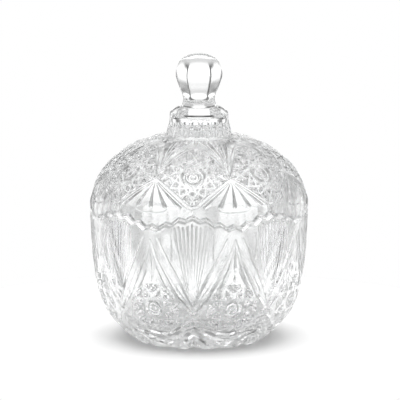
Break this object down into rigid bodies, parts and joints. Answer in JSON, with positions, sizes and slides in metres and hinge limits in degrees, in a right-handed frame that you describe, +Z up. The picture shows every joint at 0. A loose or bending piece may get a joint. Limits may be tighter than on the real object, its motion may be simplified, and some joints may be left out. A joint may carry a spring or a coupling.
{
  "type": "powder jar",
  "caption": "Round cut-glass powder jar with a domed, knobbed lid that lifts off an interlocking saw-tooth rim.",
  "frame": {"origin": "centre of the foot, on the surface that the jar stands on", "axes": "+Z up along the axis of the jar and the knob; -Y is the front, through the middle of one of the eight panels of the pattern"},
  "size_m": [0.115, 0.115, 0.151],
  "materials": {
    "jar_glass": "clear pressed and cut crystal, polished",
    "lid_glass": "clear pressed and cut crystal, polished"
  },
  "bodies": {
    "jar": {"jar": "jar_glass"},
    "lid": {"lid": "lid_glass"}
  },
  "joints": [
    {"name": "lid_lift", "type": "slide", "parent": "jar", "child": "lid", "axis": [0, 0, 1], "range_m": [0, 0.06]}
  ]
}
